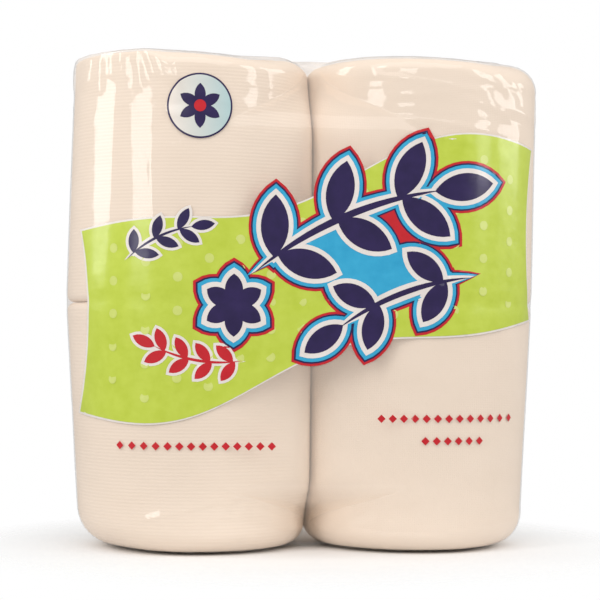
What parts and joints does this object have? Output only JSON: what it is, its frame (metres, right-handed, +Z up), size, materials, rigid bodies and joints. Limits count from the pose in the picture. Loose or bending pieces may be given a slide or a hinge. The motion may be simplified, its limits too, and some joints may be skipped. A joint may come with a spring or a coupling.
{
  "type": "toilet paper roll pack",
  "caption": "Clear printed film pack holding upright embossed toilet tissue rolls on cardboard cores, stacked in two columns, film ends folded flat.",
  "frame": {"origin": "under the middle of the pack, on the surface that it stands on", "axes": "+Z up along the roll axes, X along the two columns, the printed front faces -Y"},
  "size_m": [0.1997, 0.1016, 0.2029],
  "materials": {
    "clear_film": "clear glossy polyethylene film with soft wrinkles",
    "tissue": "soft two-ply tissue, finely embossed",
    "core_board": "spiral-wound greyboard, matt",
    "green_ink": "lime green ink on glossy film",
    "pale_green_ink": "pale green ink on glossy film",
    "white_ink": "off-white ink on glossy film",
    "cyan_ink": "cyan ink on glossy film",
    "red_ink": "red ink on glossy film",
    "navy_ink": "navy ink on glossy film",
    "pale_blue_ink": "pale blue ink on glossy film"
  },
  "bodies": {
    "root": {"film_wrap": "clear_film", "roll_lower_left": "tissue", "roll_lower_right": "tissue", "roll_upper_left": "tissue", "roll_upper_right": "tissue", "core_lower_left": "core_board", "core_lower_right": "core_board", "core_upper_left": "core_board", "core_upper_right": "core_board", "print_green": "green_ink", "print_pale_green": "pale_green_ink", "print_white": "white_ink", "print_cyan": "cyan_ink", "print_red": "red_ink", "print_navy": "navy_ink", "print_pale_blue": "pale_blue_ink"}
  },
  "joints": []
}
